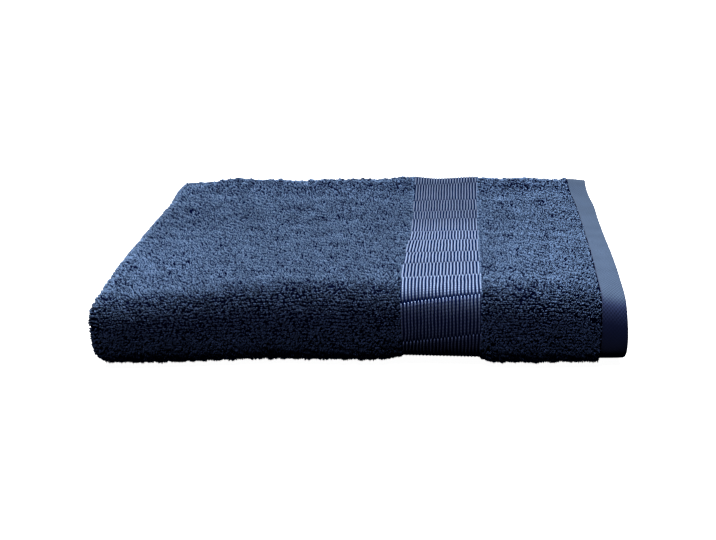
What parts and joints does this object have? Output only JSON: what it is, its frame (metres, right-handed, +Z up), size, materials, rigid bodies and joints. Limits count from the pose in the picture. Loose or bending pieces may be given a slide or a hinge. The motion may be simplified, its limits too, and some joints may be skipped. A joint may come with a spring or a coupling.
{
  "type": "folded bath towel",
  "caption": "Cotton terry bath towel folded into a flat stack, with a ribbed woven border and a flat hem at one end.",
  "frame": {"origin": "on the ground, under the middle of the folded towel's box", "axes": "+X along the towel's length, from the folded end to the hems; +Y from the front fold to the back fold; +Z up"},
  "size_m": [0.3596, 0.2372, 0.0702],
  "materials": {
    "cotton_terry": "woven cotton loop pile, navy, with flat woven borders and hems"
  },
  "bodies": {
    "root": {"towel": "cotton_terry"}
  },
  "joints": []
}
